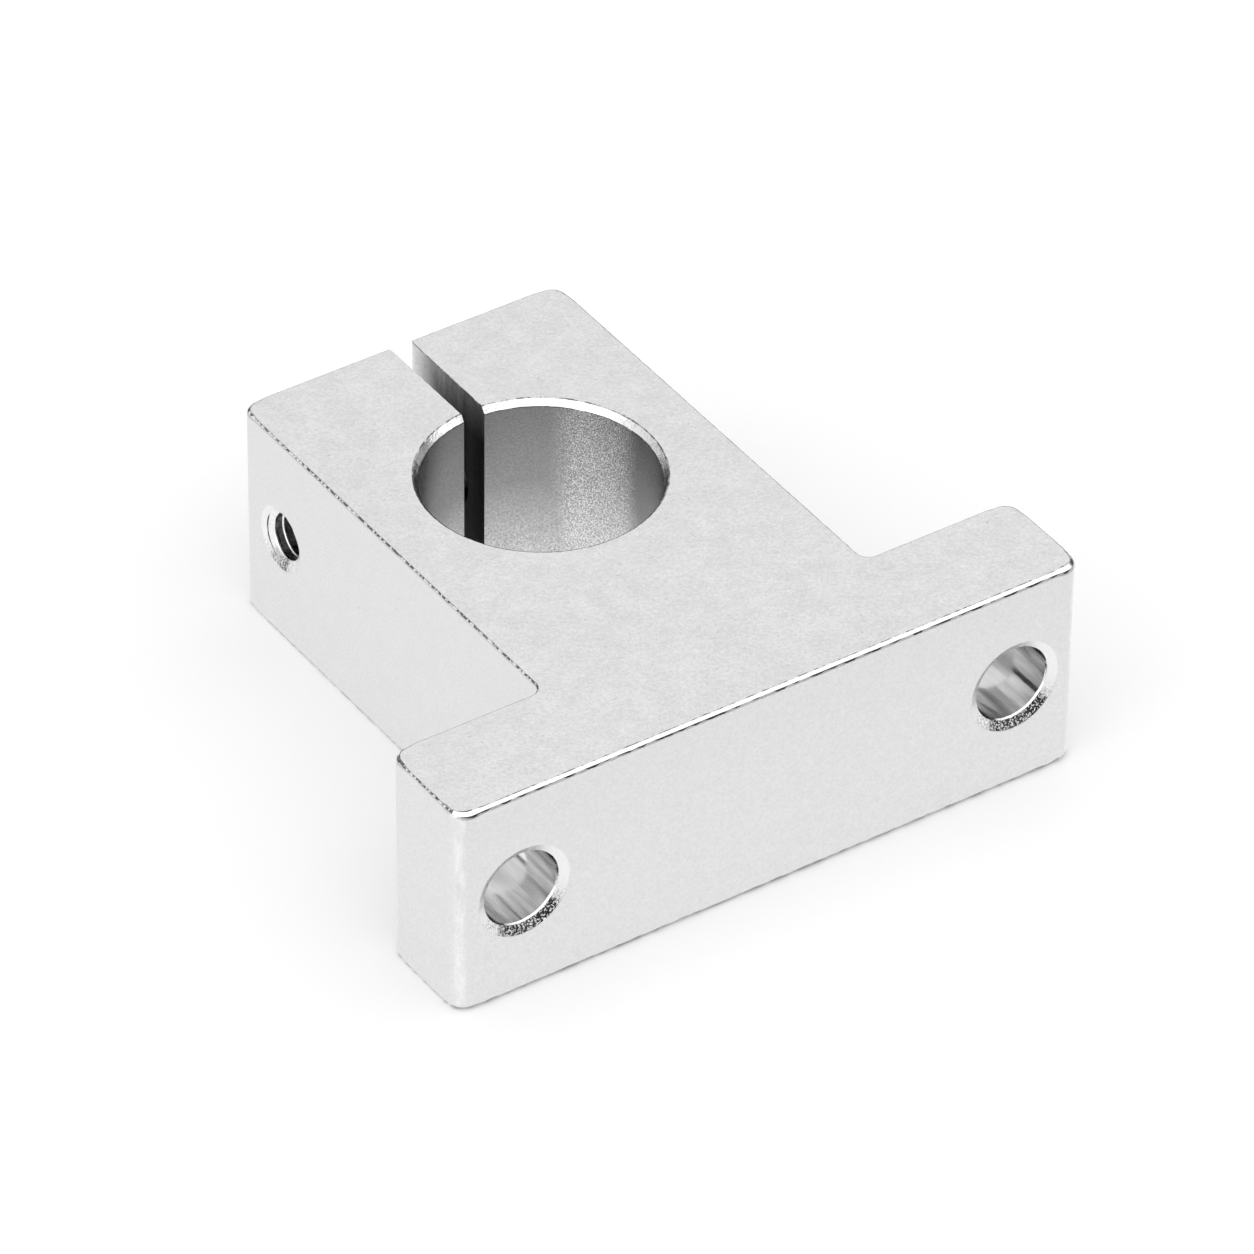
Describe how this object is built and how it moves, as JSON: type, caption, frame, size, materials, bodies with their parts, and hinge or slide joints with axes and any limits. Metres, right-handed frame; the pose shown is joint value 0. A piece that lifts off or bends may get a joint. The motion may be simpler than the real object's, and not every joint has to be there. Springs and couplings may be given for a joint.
{
  "type": "shaft support block",
  "caption": "T-shaped one-piece block with a split bore that clamps the end of a round shaft, and a foot with bolt holes.",
  "frame": {"origin": "centre of the shaft bore, half way through the block", "axes": "+Z along the shaft, +X along the foot towards the ear with the counterbore, +Y from the foot's mounting face to the ends of the clamp ears. The block lies on its -Z broad face."},
  "size_m": [0.048, 0.044, 0.016],
  "materials": {
    "blasted_aluminium": "fine blasted and clear anodised, satin"
  },
  "bodies": {
    "root": {"support_block": "blasted_aluminium"}
  },
  "joints": []
}
